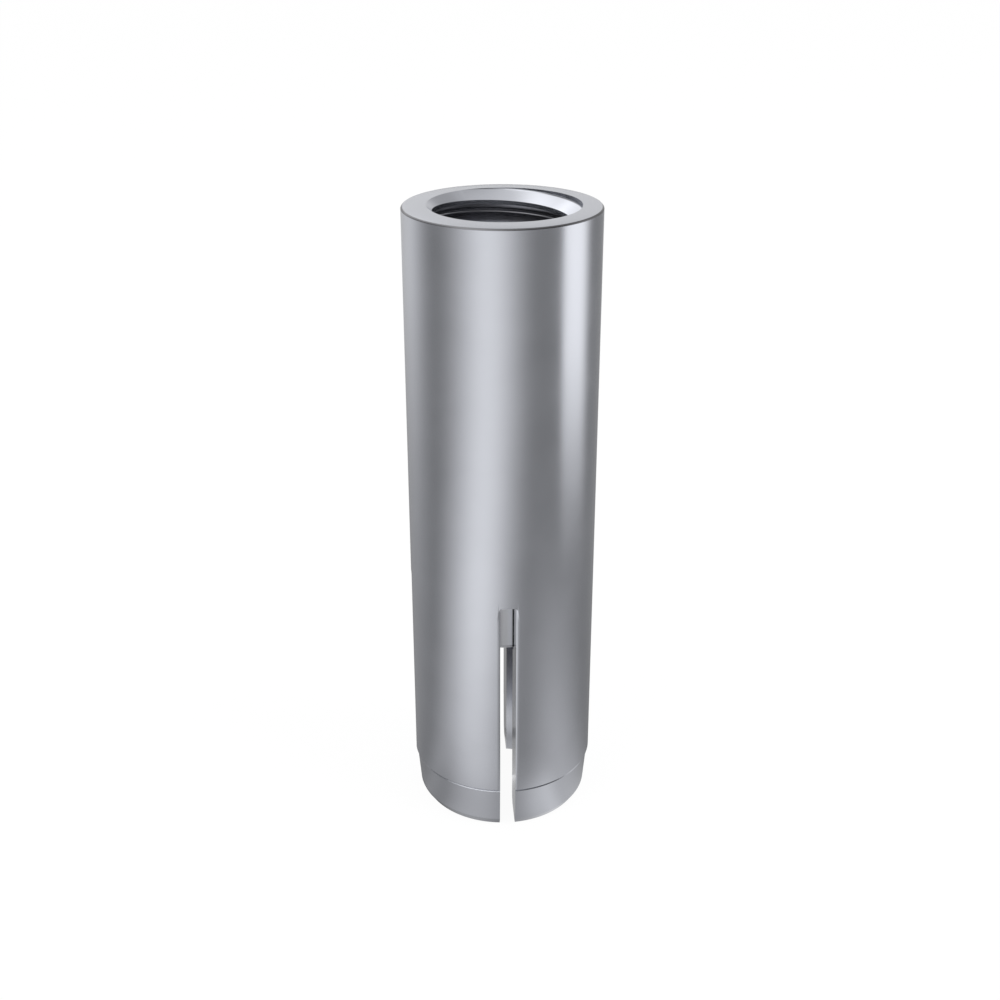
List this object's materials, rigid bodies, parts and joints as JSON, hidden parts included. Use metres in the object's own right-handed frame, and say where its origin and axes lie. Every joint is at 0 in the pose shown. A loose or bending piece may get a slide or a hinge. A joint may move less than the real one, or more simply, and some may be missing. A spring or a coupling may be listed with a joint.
{
  "type": "drop-in anchor",
  "caption": "Round steel sleeve with a threaded mouth and slotted legs, holding a loose plug that is driven down to spread the legs in a drilled hole.",
  "frame": {"origin": "centre of the slotted foot, on the plane that the anchor stands on", "axes": "+Z along the anchor's axis, from the foot towards the threaded mouth; +X and +Y each through a slot"},
  "size_m": [0.0148, 0.0148, 0.05],
  "materials": {
    "sleeve": "satin bright zinc over turned steel",
    "plug": "plain cold-formed steel"
  },
  "bodies": {
    "root": {"anchor_sleeve": "sleeve", "expander_plug": "plug"}
  },
  "joints": []
}
